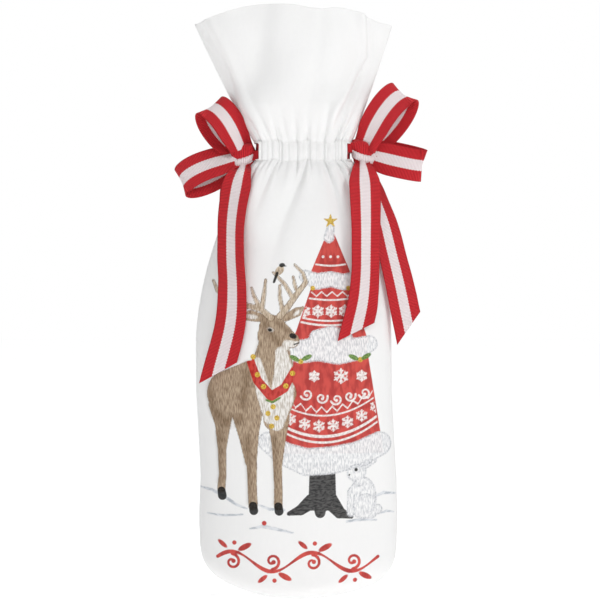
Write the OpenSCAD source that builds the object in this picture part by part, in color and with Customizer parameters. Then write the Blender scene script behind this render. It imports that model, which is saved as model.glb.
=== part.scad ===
// Wine gift bag: a cotton bag standing on its rounded base, gathered at the neck by two ribbons.
// Each ribbon runs round the neck in a stitched channel and is tied in a bow at its own side.
// Frame: origin at the middle of the flat base, +Z up, the front faces -Y. Millimetres.

/* [Bag] */
// Height from the base to the middle of the mouth's edge
bag_h = 400; // [333:1:480]
// Width of the filled body
body_w = 132; // [110:1:159]
// Depth of the filled body
body_d = 76; // [63:1:92]
// Thickness of the cotton
fabric = 0.8; // [0.5:0.05:1.2]

/* [Base] */
// Width of the flat that the bag stands on
base_w = 88; // [74:1:104]
// Depth of that flat
base_d = 56; // [46:1:64]
// Height at which the bottom corners turn up into the sides
corner_rise = 26; // [20:1:32]
// Height at which the base turns up into the front and back
front_rise = 10; // [8:0.5:13]

/* [Neck] */
// Width of the gathered neck
neck_w = 66; // [55:0.2:80]
// Depth of the gathered neck
neck_d = 29; // [24:0.1:35]
// Height of the lower row of channel stitching
neck_z = 295; // [246:1:310]
// Height at which the shoulders begin to narrow
shoulder_z = 170; // [142:1:200]
// How far the tied neck leans to the right
neck_lean = 4.5; // [0:0.5:8]

/* [Channel] */
// Height between the two rows of channel stitching
channel_h = 12.5; // [10.4:0.1:15]
// Free space between the panel and the facing in the channel
channel_gap = 3.4; // [3:0.1:4.2]
// Width of the slit at each side, as seen from the front
slit_w = 6; // [5:0.1:7.2]

/* [Header] */
// Width of the flared mouth
header_w = 134; // [114:1:158]
// Depth of the flared mouth
header_d = 26; // [22:1:32]
// How far the mouth's middle stands to the right of the base's
header_x = -2; // [-5:0.5:1]
// How much lower the mouth's corners are than its middle
corner_drop = 13; // [0:1:18]

/* [Seams] */
// Width of the seam allowances inside the bag
allowance = 8; // [6:0.5:10]
// Diameter of the sewing thread
thread_d = 0.5; // [0.4:0.05:0.7]

/* [Ribbon] */
// Width of the ribbon
ribbon_w = 22; // [18:0.1:26.5]
// Thickness of the ribbon
ribbon_t = 0.6; // [0.4:0.05:0.8]
// Radius of each knot
knot_r = 6.5; // [5.4:0.1:7.8]
// Depth of each knot from front to back
knot_d = 11; // [9:0.5:13]
// Free space between the side of the neck and each knot
knot_stand = 1; // [0.8:0.05:1.2]
// Length of the left bow's loops
left_loop_l = 46; // [38:1:54]
// Length of the right bow's upper loop
right_loop_l = 53; // [44:1:60]
// Length of the right bow's side loop
side_loop_l = 42; // [35:1:50]
// Fall of the left bow's front tail below its knot
left_tail_l = 146; // [122:1:150]
// Fall of the right bow's front tail below its knot
right_tail_l = 124; // [104:1:148]
// Fall of the left bow's rear tail below its knot
left_rear_l = 118; // [98:1:140]
// Fall of the right bow's rear tail below its knot
right_rear_l = 126; // [105:1:140]

/* [Hidden] */

cloth_colour = [0.95, 0.95, 0.94];
thread_colour = [0.88, 0.88, 0.86];
ribbon_colour = [0.78, 0.1, 0.14];

// Height of the facing's edge below the lower row of channel stitching
hem = 6;

// Rows and columns of the cloth's grids
cols = 30;
rim_rows = 6;
body_rows = 6;
shoulder_rows = 13;
header_rows = 8;

// Clearances
layer_gap = 0.45; // between two layers of cloth that lie together
slip = 0.5; // round a ribbon in the channel
lie_gap = 1.3; // between a hanging ribbon and the cloth behind it

// The channel
channel_top = neck_z + channel_h;
neck_squareness = 14; // the gathered neck is a flat oblong in plan
slit_edge = 0.8; // cloth left above and below a side slit
slit_x = neck_w / 2 - slit_w;
wall_step = 0.8; // height in which the facing steps in to the channel's inner wall

// The ribbons in the channel: each is crumpled to a strand, the left one below the right one
strand_t = 1.7;
strand_h = (channel_h - 2 * wall_step - 3 * slip) / 2;
strand_y = neck_d / 2 - fabric - channel_gap + slip + strand_t / 2;
left_strand_z = neck_z + wall_step + slip + strand_h / 2;
right_strand_z = channel_top - wall_step - slip - strand_h / 2;

// The knots
knot_x = neck_w / 2 + knot_stand + knot_r;
left_knot_p = [neck_lean - knot_x, -5, neck_z + 3];
right_knot_p = [neck_lean + knot_x, -5, neck_z + 5.5];
knot_gap = 1.2; // between a knot and what turns on it

// The upper loops stand beside the header, each one below the line of the header's side
loop_tilt = 42;
function flare(side) =
    atan2(bag_h - channel_top, (header_w - neck_w) / 2 - side * (neck_lean - header_x));
function below_flare(length, clear) = atan2(ribbon_w / 2 * cos(loop_tilt) + clear, length);
left_loop_angle = 180 - flare(-1) + below_flare(left_loop_l, 0.3);
right_loop_angle = flare(1) - below_flare(right_loop_l, 6.4);

function mix(a, b, t) = a + (b - a) * t;
function clamp(t) = min(1, max(0, t));
function smooth(t) = let(u = clamp(t)) u * u * (3 - 2 * u);

// ---- The bag's surface ----
// A ring is [half width, half depth, squareness, end shape, middle x, z, share of the corner's rise,
// share of the mouth's drop, share of a wall's thickness that goes inward, share that goes up].
function shoulder(t) = pow(1 - pow(t, 1.6), 0.75);
function squareness(t) = mix(2, neck_squareness, smooth((t - 0.5) / 0.5));
function lean(z) = neck_lean * smooth((z - shoulder_z) / (neck_z - shoulder_z));

function rim_ring(s) = [
    mix(base_w, body_w, sin(s)) / 2, mix(base_d, body_d, sin(s)) / 2, 2, 0.5, 0,
    0, 1 - cos(s), 0, sin(s), cos(s)
];
function body_ring(t) = [body_w / 2, body_d / 2, 2, 0.5, 0, shoulder_z * t, 1 - t, 0, 1, 0];
function shoulder_ring(t) = let(z = mix(shoulder_z, neck_z, t)) [
    mix(neck_w, body_w, shoulder(t)) / 2, mix(neck_d, body_d, shoulder(t)) / 2,
    squareness(t), 0.5, lean(z), z, 0, 0, 1, 0
];
function channel_ring(z) = [neck_w / 2, neck_d / 2, neck_squareness, 0.5, neck_lean, z, 0, 0, 1, 0];
function header_ring(t) = [
    mix(neck_w, header_w, pow(t, 0.92)) / 2, mix(neck_d, header_d, t) / 2,
    mix(neck_squareness, 2, smooth(2 * t)), mix(0.5, 1, smooth(1.5 * t)), mix(neck_lean, header_x, t),
    mix(channel_top, bag_h, t), 0, t, 1, 0
];

// A point of a ring at an angle of 0 (left seam) to 180 (right seam), on the front, set in by e
function on_ring(r, angle, e = 0) = let(
    c = cos(angle),
    side = c * c,
    w = r[0] - e * r[8],
    d = r[1] - e * r[8],
    rise = mix(front_rise, corner_rise, side)
) [
    r[4] - w * c,
    -d * pow(max(0, 1 - pow(abs(c), r[2])), r[3]),
    r[5] + r[6] * rise - r[7] * corner_drop * side + e * r[9]
];

// The front surface's y at a place seen from the front, above the rim
function surface_ring(z) =
    z < shoulder_z ? body_ring(1) : shoulder_ring(clamp((z - shoulder_z) / (neck_z - shoulder_z)));
function surface_y(x, z) = let(
    r = surface_ring(z),
    u = min(0.999, abs(x - r[4]) / r[0])
) -r[1] * pow(1 - pow(u, r[2]), r[3]);

hem_t = 1 - hem / (neck_z - shoulder_z);
lower_rings = concat(
    [for (n = [0:rim_rows]) rim_ring(90 * n / rim_rows)],
    [for (n = [1:body_rows]) body_ring(n / body_rows)],
    [for (n = [1:shoulder_rows]) shoulder_ring(hem_t * n / shoulder_rows)]
);
panel_rings = concat(
    lower_rings,
    [for (z = [neck_z, neck_z + slit_edge, channel_top - slit_edge, channel_top]) channel_ring(z)],
    [for (n = [1:header_rows]) header_ring(n / header_rows)]
);

// ---- Solids from grids ----
// Two grids of points, each a list of rows, become a closed wall between them.
// Row slit_row may be left open over slit_cols columns at each side.
module wall(outer, inner, slit_row = -1, slit_cols = 0) {
    nv = len(outer) - 1;
    nu = len(outer[0]) - 1;
    size = (nu + 1) * (nv + 1);
    points = [for (grid = [outer, inner]) for (row = grid) for (p = row) p];
    function at(layer, i, j) = layer * size + j * (nu + 1) + i;
    function quad(a, b, c, d) = [[a, b, c], [a, c, d]];
    function solid(i, j) = i >= 0 && i < nu && j >= 0 && j < nv
        && !(j == slit_row && (i < slit_cols || i >= nu - slit_cols));
    faces = [for (j = [0:nv - 1]) for (i = [0:nu - 1]) if (solid(i, j)) each concat(
        quad(at(0, i, j), at(0, i, j + 1), at(0, i + 1, j + 1), at(0, i + 1, j)),
        quad(at(1, i + 1, j), at(1, i + 1, j + 1), at(1, i, j + 1), at(1, i, j)),
        solid(i - 1, j) ? [] : quad(at(0, i, j + 1), at(0, i, j), at(1, i, j), at(1, i, j + 1)),
        solid(i + 1, j) ? []
            : quad(at(0, i + 1, j), at(0, i + 1, j + 1), at(1, i + 1, j + 1), at(1, i + 1, j)),
        solid(i, j - 1) ? [] : quad(at(0, i, j), at(0, i + 1, j), at(1, i + 1, j), at(1, i, j)),
        solid(i, j + 1) ? []
            : quad(at(0, i + 1, j + 1), at(0, i, j + 1), at(1, i, j + 1), at(1, i + 1, j + 1))
    )];
    polyhedron(points, faces, convexity = 8);
}

// A ribbon of even thickness about a grid of points down its middle layer
module ribbon(grid, t = ribbon_t) {
    nv = len(grid) - 1;
    nu = len(grid[0]) - 1;
    function normal(i, j) = let(
        across = grid[j][min(nu, i + 1)] - grid[j][max(0, i - 1)],
        along = grid[min(nv, j + 1)][i] - grid[max(0, j - 1)][i],
        n = cross(across, along)
    ) n / norm(n);
    function layer(s) = [for (j = [0:nv]) [for (i = [0:nu]) grid[j][i] + s * t / 2 * normal(i, j)]];
    wall(layer(1), layer(-1));
}

// ---- Cloth ----
seam_end = 0.96; // the bottom seam's length as a share of the base's width
seam_groove = 0.05; // half the open groove along the bottom seam

module half_bag(rings, e_out, e_in) {
    function rows_at(e) = [for (n = [0:len(rings) - 1])
        [for (i = [0:cols]) on_ring(rings[n], 180 * i / cols, e[n])]];
    wall(rows_at(e_out), rows_at(e_in));
}

// The panel's base runs in from the rim to the bottom seam, and a slit at each side of the channel
// lets the ribbons out
module panel() {
    function seam_row(e) = [for (i = [0:cols]) let(a = 180 * i / cols)
        [-seam_end * base_w / 2 * cos(a), -seam_groove * sin(a), e]];
    function rows_at(e) = concat(
        [seam_row(e)],
        [for (r = panel_rings) [for (i = [0:cols]) on_ring(r, 180 * i / cols, e)]]
    );
    slit_row = 1 + len(lower_rings) + 1;
    slit_cols = round(acos(2 * slit_x / neck_w) * cols / 180);
    wall(rows_at(0), rows_at(fabric), slit_row, slit_cols);
}

// The top of the cloth turned down inside: it lines the header and makes the channel's inner wall
module facing() {
    close_in = fabric + layer_gap;
    channel_in = fabric + channel_gap;
    rings = concat(
        [shoulder_ring(hem_t), channel_ring(neck_z)],
        [for (z = [neck_z + wall_step, channel_top - wall_step]) channel_ring(z)],
        [for (n = [0:header_rows]) header_ring(n / header_rows)]
    );
    e = concat([close_in, close_in, channel_in, channel_in], [for (n = [0:header_rows]) close_in]);
    half_bag(rings, e, [for (x = e) x + fabric]);
}

// The allowances of a side seam, overlocked together and standing in from the side of the body
module side_seam(side) {
    inset = fabric + layer_gap;
    rings = [for (n = [1:len(lower_rings) - 1]) lower_rings[n]];
    angle = side < 0 ? 0 : 180;
    outer = [for (r = rings) on_ring(r, angle, inset)];
    inner = [for (r = rings) on_ring(r, angle, inset + allowance)];
    function leaf(y) = [for (n = [0:len(rings) - 1])
        let(o = outer[n] + [0, y, 0], i = inner[n] + [0, y, 0]) side < 0 ? [o, i] : [i, o]];
    wall(leaf(-fabric), leaf(fabric));
}

// The allowances of the bottom seam, folded down flat behind the seam
module bottom_seam_strip() {
    translate([-base_w * seam_end / 2 + allowance, layer_gap, fabric + layer_gap])
        cube([base_w * seam_end - 2 * allowance, allowance, 2 * fabric]);
}

// A row of stitching round the neck
module stitch_row(z) {
    sides = 6;
    count = 56;
    stand = fabric / 8 + thread_d / 2;
    function centre(n) = let(
        angle = 360 * ((n + count) % count) / count,
        p = on_ring(channel_ring(z), angle > 180 ? 360 - angle : angle, -stand)
    ) angle > 180 ? [p[0], -p[1], p[2]] : p;
    middle = [neck_lean, 0, z];
    points = [for (n = [0:count - 1]) let(
        c = centre(n),
        tangent = centre(n + 1) - centre(n - 1),
        out = cross(tangent, [0, 0, 1]) / norm(tangent)
    ) for (k = [0:sides - 1])
        c + thread_d / 2 * (cos(360 * k / sides) * out + [0, 0, sin(360 * k / sides)])];
    function at(n, k) = (n % count) * sides + k % sides;
    faces = [for (n = [0:count - 1]) for (k = [0:sides - 1])
        each [[at(n, k), at(n + 1, k), at(n + 1, k + 1)], [at(n, k), at(n + 1, k + 1), at(n, k + 1)]]];
    polyhedron(points, faces, convexity = 8);
}

// ---- Ribbons in the channel ----
// A strip that stands on edge, given by its plan as a list of [x, y] points
module strip(plan, z) {
    function edge(p) = [[p[0], p[1], z - strand_h / 2], [p[0], p[1], z + strand_h / 2]];
    ribbon([for (p = plan) edge(p)], strand_t);
}

strand_end = slit_x - 1; // where the sliding strands meet the ribbon's fixed return

// The two strands of one ribbon, from the far end of the channel to its knot at p, at side -1 or 1
module strands(side, p, z) {
    start_x = slit_x + 3;
    reach = knot_x - knot_r + 2;
    knot_y = p[1];
    front = [
        [-strand_end, -strand_y], [start_x, -strand_y], [start_x + 4, -strand_y + 1],
        [reach, knot_y - 2.6]
    ];
    back = [
        [-strand_end, strand_y], [start_x, strand_y], [start_x + 4, strand_y - 1],
        [reach, knot_y + 2.6]
    ];
    difference() {
        for (plan = [front, back])
            strip([for (q = plan) [neck_lean + side * q[0], q[1]]], z);
        translate(p) rotate([90, 0, 0]) cylinder(h = 2 * knot_d, r = knot_r + 0.1, center = true, $fn = 48);
    }
}

// The ribbon's turn from the front channel to the back one, at side -1 or 1
module ribbon_return(side, z) {
    start_x = strand_end + slip;
    turn = 12;
    bulge = neck_w / 2 - strand_t / 2 - start_x - 1;
    plan = concat(
        [[start_x, -strand_y]],
        [for (n = [0:turn]) let(angle = 180 * n / turn - 90)
            [start_x + 1 + bulge * cos(angle), strand_y * sin(angle)]],
        [[start_x, strand_y]]
    );
    strip([for (q = plan) [neck_lean + side * q[0], q[1]]], z);
}

// ---- Bows ----
module knot(p) {
    round_r = 3;
    translate(p) rotate([90, 0, 0]) rotate_extrude($fn = 48) hull() {
        translate([0, -knot_d / 2]) square([0.01, knot_d]);
        for (y = [-1, 1])
            translate([knot_r - round_r, y * (knot_d / 2 - round_r)]) circle(round_r, $fn = 24);
    }
}

// A bow's loop leaves the knot at an angle in the front view, and comes back behind itself.
// tilt turns its open side towards the front, on the side given by turn (1 or -1).
module bow_loop(p, angle, length, opening, turn, tilt = loop_tilt) {
    steps = 22;
    root = knot_r + knot_gap + 0.7;
    root_w = 8;
    out = [cos(angle), 0, sin(angle)];
    beside = [-sin(angle), 0, cos(angle)] * turn;
    away = cos(tilt) * [0, 1, 0] + sin(tilt) * beside;
    across = cos(tilt) * beside - sin(tilt) * [0, 1, 0];
    function middle(s) = let(far = sin(180 * s))
        p + out * mix(root, length, far)
        - away * opening / 2 * cos(180 * s) * (0.3 + 1.4 * far * (1 - 0.35 * far));
    function half_w(s) = mix(root_w, ribbon_w, smooth(sin(180 * s) * 2.2)) / 2;
    ribbon([for (n = [0:steps]) let(s = n / steps)
        [for (e = [-1, 1]) middle(s) + e * half_w(s) * across]]);
}

// A tail is given by the x of its middle at evenly spaced heights from the knot down to its end,
// by the shape of its slanted cut, and by a function number for its depth.
tail_cols = 4;
tail_top_w = 11;

function along(list, t) = let(
    n = len(list) - 1,
    i = min(n - 1, floor(t * n)),
    f = t * n - i,
    a = list[max(0, i - 1)], b = list[i], c = list[i + 1], d = list[min(n, i + 2)]
) b + f / 2 * (c - a + f * (2 * a - 5 * b + 4 * c - d + f * (3 * (b - c) + d - a)));

// A tail that falls from p and lies on the front (face -1) or the back (face 1) of the bag.
// It stays flat across its width, and leans as the cloth does under its middle.
module lying_tail(p, face, length, middles, cut) {
    steps = 22;
    front = face < 0;
    top = front ? p[2] - knot_r - knot_gap : p[2] - 1;
    root_y = front ? -p[1] + 3 : p[1] + knot_d / 2 + knot_gap + 2.2;
    end_w = ribbon_w - 2; // as seen from the front, where the tail turns with the cloth
    function depth(x, z) = -surface_y(x, z);
    ribbon([for (n = [0:steps]) let(
        t = pow(n / steps, 1.5),
        w = mix(tail_top_w, end_w, smooth(t * 5)),
        z = mix(top, p[2] - length, t),
        x0 = p[0] + along(middles, t),
        lean = max(-0.7, min(0.7, (depth(x0 + 1, z) - depth(x0 - 1, z)) / 2)) * smooth(t * 8),
        xs = [for (i = [0:tail_cols]) x0 + (i / tail_cols - 0.5) * w],
        near = [for (x = xs, beside = [-2, 0, 2]) depth(x + beside, z - 1) - lean * (x - x0)],
        stand = max(near) + lie_gap + ribbon_t / 2,
        hang = mix(root_y, 0, smooth(t * 6))
    ) [for (i = [0:tail_cols]) let(x = xs[front ? tail_cols - i : i]) [
            x,
            face * (max(stand, hang) + lean * (x - x0)),
            z + cut * (x - x0) / w * smooth(t * 2 - 1)
        ]]]);
}

// A tail that hangs free beside the bag, its width turned from the front view by yaw.
// Its middle stands off the bag's right side by the distances in stands.
module hanging_tail(p, length, stands, depths, cut, yaw_top, yaw_end) {
    steps = 18;
    top = p[2] - knot_r - knot_gap;
    ribbon([for (n = [0:steps]) let(
        t = n / steps,
        z = mix(top, p[2] - length, t),
        r = surface_ring(z),
        x = r[4] + r[0] + along(stands, t),
        w = mix(tail_top_w, ribbon_w, smooth(t * 5)),
        yaw = mix(yaw_top, yaw_end, smooth(t * 1.5))
    ) [for (i = [0:tail_cols]) let(e = i / tail_cols - 0.5) [
            x + e * w * cos(yaw),
            p[1] + along(depths, t) + e * w * sin(yaw),
            z + cut * e * smooth(t * 2 - 1)
        ]]]);
}

// ---- Nodes ----
module front_panel() { color(cloth_colour) panel(); }
module back_panel() { color(cloth_colour) mirror([0, 1, 0]) panel(); }
module front_facing() { color(cloth_colour) facing(); }
module back_facing() { color(cloth_colour) mirror([0, 1, 0]) facing(); }
module left_side_seam() { color(thread_colour) side_seam(-1); }
module right_side_seam() { color(thread_colour) side_seam(1); }
module bottom_seam() { color(thread_colour) bottom_seam_strip(); }
module lower_channel_stitching() { color(thread_colour) stitch_row(neck_z); }
module upper_channel_stitching() { color(thread_colour) stitch_row(channel_top); }
module left_ribbon_return() { color(ribbon_colour) ribbon_return(1, left_strand_z); }
module right_ribbon_return() { color(ribbon_colour) ribbon_return(-1, right_strand_z); }

module left_ribbon_strands() { color(ribbon_colour) strands(-1, left_knot_p, left_strand_z); }
module left_knot() { color(ribbon_colour) knot(left_knot_p); }
module left_upper_loop() { color(ribbon_colour) bow_loop(left_knot_p, left_loop_angle, left_loop_l, 15, 1); }
module left_lower_loop() { color(ribbon_colour) bow_loop(left_knot_p, 203, left_loop_l, 15, 1); }
module left_front_tail() {
    color(ribbon_colour) lying_tail(left_knot_p, -1, left_tail_l, [0, -6, -7, -6, -8, -11, -20], 12);
}
module left_rear_tail() {
    color(ribbon_colour) lying_tail(left_knot_p, 1, left_rear_l, [-3, -6, -5, -4, -4, -5, -8], 10);
}

module right_ribbon_strands() { color(ribbon_colour) strands(1, right_knot_p, right_strand_z); }
module right_knot() { color(ribbon_colour) knot(right_knot_p); }
module right_upper_loop() { color(ribbon_colour) bow_loop(right_knot_p, right_loop_angle, right_loop_l, 15, -1); }
module right_side_loop() { color(ribbon_colour) bow_loop(right_knot_p, -12, side_loop_l, 7, 1, 12); }
module right_front_tail() {
    color(ribbon_colour) lying_tail(right_knot_p, -1, right_tail_l, [0, 1, 2, 2, 2, 1, -4], 14);
}
module right_rear_tail() {
    stands = [7.2, 5.2, 6.7, 8, 9, 9.4, 8.6];
    depths = [5, 6, 6, 5, 4, 3, 3];
    color(ribbon_colour) hanging_tail(right_knot_p, right_rear_l, stands, depths, 16, 78, 54);
}

front_panel();
back_panel();
front_facing();
back_facing();
left_side_seam();
right_side_seam();
bottom_seam();
lower_channel_stitching();
upper_channel_stitching();
left_ribbon_return();
right_ribbon_return();
left_ribbon_strands();
left_knot();
left_upper_loop();
left_lower_loop();
left_front_tail();
left_rear_tail();
right_ribbon_strands();
right_knot();
right_upper_loop();
right_side_loop();
right_front_tail();
right_rear_tail();
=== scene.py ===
"""A cotton wine gift bag, gathered at the neck by two striped ribbons that are tied in bows.

Metres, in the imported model's frame. Shapes are worked out in millimetres, as in the CAD, and scaled once.
"""

import math

import bpy
import numpy as np
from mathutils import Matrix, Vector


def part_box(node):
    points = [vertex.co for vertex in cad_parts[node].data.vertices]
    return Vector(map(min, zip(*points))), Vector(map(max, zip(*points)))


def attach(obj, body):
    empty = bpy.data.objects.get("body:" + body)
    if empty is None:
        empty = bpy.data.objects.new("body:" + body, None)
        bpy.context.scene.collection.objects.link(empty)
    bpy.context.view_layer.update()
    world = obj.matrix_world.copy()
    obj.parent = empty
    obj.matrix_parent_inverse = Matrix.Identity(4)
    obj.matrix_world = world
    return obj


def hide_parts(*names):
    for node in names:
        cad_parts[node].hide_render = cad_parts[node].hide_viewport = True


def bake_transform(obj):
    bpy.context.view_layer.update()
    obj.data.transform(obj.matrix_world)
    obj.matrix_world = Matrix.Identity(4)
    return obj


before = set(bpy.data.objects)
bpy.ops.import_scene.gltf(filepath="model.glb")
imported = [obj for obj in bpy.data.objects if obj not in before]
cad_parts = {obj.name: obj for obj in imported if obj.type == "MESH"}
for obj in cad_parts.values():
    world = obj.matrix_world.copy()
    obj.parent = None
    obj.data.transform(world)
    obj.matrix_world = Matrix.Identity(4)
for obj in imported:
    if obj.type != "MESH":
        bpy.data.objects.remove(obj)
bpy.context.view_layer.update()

MM = 0.001


def box_mm(node):
    low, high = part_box(node)
    return np.array(low) / MM, np.array(high) / MM


# ---- Sizes, in millimetres ----
STITCH_OUT = 0.6  # the CAD's stitching stands this far off the cloth
SEAM_IN = 1.1  # the CAD's side seams end this far inside the body's outline
BULGE = 1.3  # the filled cloth stands this far outside that outline
low_row, high_row = box_mm("lower_channel_stitching"), box_mm("upper_channel_stitching")
NECK_Z = float(low_row[0][2] + low_row[1][2]) / 2
CHANNEL_TOP = float(high_row[0][2] + high_row[1][2]) / 2
NECK_LEAN = float(low_row[0][0] + low_row[1][0]) / 2
NECK_W = float(low_row[1][0] - low_row[0][0]) - 2 * STITCH_OUT
NECK_D = float(low_row[1][1] - low_row[0][1]) - 2 * STITCH_OUT
BAG_H = float(box_mm("front_panel")[1][2])
BODY_W = 2 * (SEAM_IN + BULGE - float(box_mm("left_side_seam")[0][0]))
BODY_D = -2 * float(box_mm("front_panel")[0][1])
BASE_W, BASE_D = 88, 56
CORNER_RISE, FRONT_RISE = 26, 10  # how high the base's rounding reaches, at the seams and at the front
LEFT_LIFT, RIGHT_LIFT = 9.5, 6.5  # the base hangs in a soft curve, with its corners this much higher
LIFT_TOP = 75  # the height at which that lift has faded
SHOULDER_Z = 170
HEADER_W, HEADER_D, HEADER_X, CORNER_DROP = 134, 26, -2, 13
HEM = 6  # the facing's edge lies this far below the lower row of stitching
FACING_GAP = 1.1  # from the outside of a panel to the outside of the facing behind it
CHANNEL_GAP = 4.2  # the same, in the channel, where the ribbons run between them
SLIT_X, SLIT_EDGE = 29.9, 0.8
SQUARE = 26  # the gathered neck is a flat oblong in plan
RIBBON_W, RIBBON_T = 22, 0.42
KNOTS = {side: sum(box_mm(side + "_knot")) / 2 for side in ("left", "right")}
KNOT_R = 6.5
LOOP_ROOT, TAIL_ROOT = 9.0, 4.6  # half the width of a loop and of a tail where the knot pinches them
TAIL_SPREAD = 24  # a tail has its full width from this distance on
KNOT_HALF = (8.0, 6.4, 9.4)  # half the knot's width, depth and height


def mix(a, b, t):
    return a + (b - a) * t


def smooth(t):
    t = np.clip(t, 0, 1)
    return t * t * (3 - 2 * t)


def bump(x, centre, width):
    return np.exp(-(((x - centre) / width) ** 2) / 2)

def run_length(points):
    """The distance along a line of points, at each of them."""
    return np.concatenate([[0], np.cumsum(np.linalg.norm(np.diff(points, axis=0), axis=-1))])


# ---- Meshes ----
def make_mesh(name, points, faces, material, uvs=None, smooth_shade=True):
    """A mesh object from points in millimetres; uvs has one pair for each point."""
    mesh = bpy.data.meshes.new(name)
    mesh.from_pydata((np.asarray(points, float) * MM).tolist(), [], faces)
    mesh.validate()
    mesh.materials.append(material)
    mesh.polygons.foreach_set("use_smooth", [smooth_shade] * len(mesh.polygons))
    if uvs is not None:
        uvs = np.asarray(uvs, float)
        layer = mesh.uv_layers.new(name="UVMap")
        loops = np.empty(len(mesh.loops), np.int32)
        mesh.loops.foreach_get("vertex_index", loops)
        layer.data.foreach_set("uv", uvs[loops].ravel())
    piece = bpy.data.objects.new(name, mesh)
    bpy.context.scene.collection.objects.link(piece)
    return piece


def add_attribute(piece, name, values):
    attribute = piece.data.attributes.new(name, "FLOAT", "POINT")
    attribute.data.foreach_set("value", np.asarray(values, np.float32).ravel())


def grid_faces(rows, cols, keep=None, flip=False):
    faces = []
    for j in range(rows - 1):
        for i in range(cols - 1):
            if keep is None or keep[j, i]:
                a, b = j * cols + i, j * cols + i + 1
                face = (a, b, b + cols, a + cols)
                faces.append(face[::-1] if flip else face)
    return faces

def slab_faces(rows, cols):
    """Faces of two equal grids, the second one turned over, joined round their edges."""
    size = rows * cols
    faces = grid_faces(rows, cols)
    faces += [tuple(v + size for v in face[::-1]) for face in faces]
    rim = [j * cols for j in range(rows)] + [(rows - 1) * cols + i for i in range(1, cols)]
    rim += [j * cols + cols - 1 for j in range(rows - 2, -1, -1)] + [i for i in range(cols - 2, 0, -1)]
    return faces + [(a, b, b + size, a + size) for a, b in zip(rim, rim[1:] + rim[:1])]


def uv_grid(u, v):
    """UV pairs for a grid of points, u across its columns and v along its rows."""
    return np.stack(np.meshgrid(u, v), -1).reshape(-1, 2)


# ---- The bag's surface ----
class Rings:
    """The CAD's rings, at any distance along the cloth from the bottom seam to the mouth."""

    def __init__(self, stages):
        values = {key: [] for key in "w d n end cx z rise drop e_in e_up".split()}
        for ring in stages:
            for key in values:
                values[key].append(ring.get(key, 0.0))
        for key, column in values.items():
            setattr(self, key, np.array(column, float)[:, None])

    def points(self, angle, e, wave=None):
        """Front points at angles of 0 (left seam) to pi (right seam), set in by e, pushed out by wave."""
        c = np.cos(angle)[None, :]
        side = c * c
        w = self.w - e * self.e_in
        d = self.d - e * self.e_in
        rise = mix(FRONT_RISE, CORNER_RISE, side)
        x = self.cx - w * c
        y = -d * np.maximum(0, 1 - np.abs(c) ** self.n) ** self.end
        z = self.z + self.rise * rise - self.drop * CORNER_DROP * side + e * self.e_up
        lift = mix(LEFT_LIFT, RIGHT_LIFT, (1 - c) / 2) * np.abs(c) ** 2.2
        z = z + lift * (1 - smooth(z / LIFT_TOP)) * (self.z < LIFT_TOP)
        p = np.stack([x, y, z], -1)
        if wave is not None:
            t = np.gradient(p, axis=1)
            out = np.stack([t[..., 1], -t[..., 0], np.zeros_like(x)], -1)
            out /= np.maximum(np.linalg.norm(out, axis=-1, keepdims=True), 1e-6)
            out[:, 0] = (-1, 0, 0)
            out[:, -1] = (1, 0, 0)
            p = p + out * wave[..., None]
        return p


def sway(z):
    """The filled bag isn't quite straight: how far its middle lies to the right at a height."""
    return float(np.interp(z, [0, 32, 65, 99, 133, SHOULDER_Z], [1.3, 1.3, 1.5, 0.0, -1.6, -1.8]))


def rim_ring(s):
    return dict(
        cx=sway(0),
        w=mix(BASE_W, BODY_W, math.sin(s)) / 2, d=mix(BASE_D, BODY_D, math.sin(s)) / 2, n=2, end=0.5,
        rise=1 - math.cos(s), e_in=math.sin(s), e_up=math.cos(s),
    )


def body_ring(t):
    z = SHOULDER_Z * t
    w = BODY_W / 2 + 0.9 * float(bump(z, 30, 20))
    return dict(w=w, d=BODY_D / 2, n=2, end=0.5, cx=sway(z), z=z, rise=1 - t, e_in=1)


def shoulder_ring(t):
    k = (1 - t**1.85) ** 0.75
    deep = mix((1 - t**1.6) ** 0.75, 1 - t**1.4, 0.8)
    return dict(
        w=mix(NECK_W, BODY_W, k) / 2, d=mix(NECK_D, BODY_D, deep) / 2,
        n=mix(2, 13, float(smooth((t - 0.5) / 0.5))), end=0.5,
        cx=mix(sway(SHOULDER_Z), NECK_LEAN, float(smooth(t))),
        z=mix(SHOULDER_Z, NECK_Z, t), e_in=1,
    )


def channel_ring(z):
    return dict(w=NECK_W / 2, d=NECK_D / 2, n=SQUARE, end=0.5, cx=NECK_LEAN, z=z, e_in=1)


def header_ring(t):
    return dict(
        w=mix(NECK_W, HEADER_W, t**0.92) / 2, d=mix(NECK_D, HEADER_D, t) / 2,
        n=mix(13, 2, float(smooth(2 * t)) ** 0.7), end=mix(0.5, 1, float(smooth(1.5 * t))),
        cx=mix(NECK_LEAN, HEADER_X, t), z=mix(CHANNEL_TOP, BAG_H, t), drop=t, e_in=1,
    )


def spaced(low, high, step):
    """Evenly spaced values from low to high, low left out."""
    count = max(1, round((high - low) / step))
    return [mix(low, high, (n + 1) / count) for n in range(count)]


def columns(count):
    """Angles that are evenly spaced along the body's girth, from seam to seam."""
    fine = np.linspace(0, math.pi, 2001)
    fine = np.linspace(0, math.pi, 2001)
    length = run_length(np.stack([-BODY_W / 2 * np.cos(fine), -BODY_D / 2 * np.sin(fine)], -1))
    even = np.interp(np.linspace(0, length[-1], count + 1), length, fine)
    return mix(even, np.linspace(0, math.pi, count + 1), 0.3)


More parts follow.
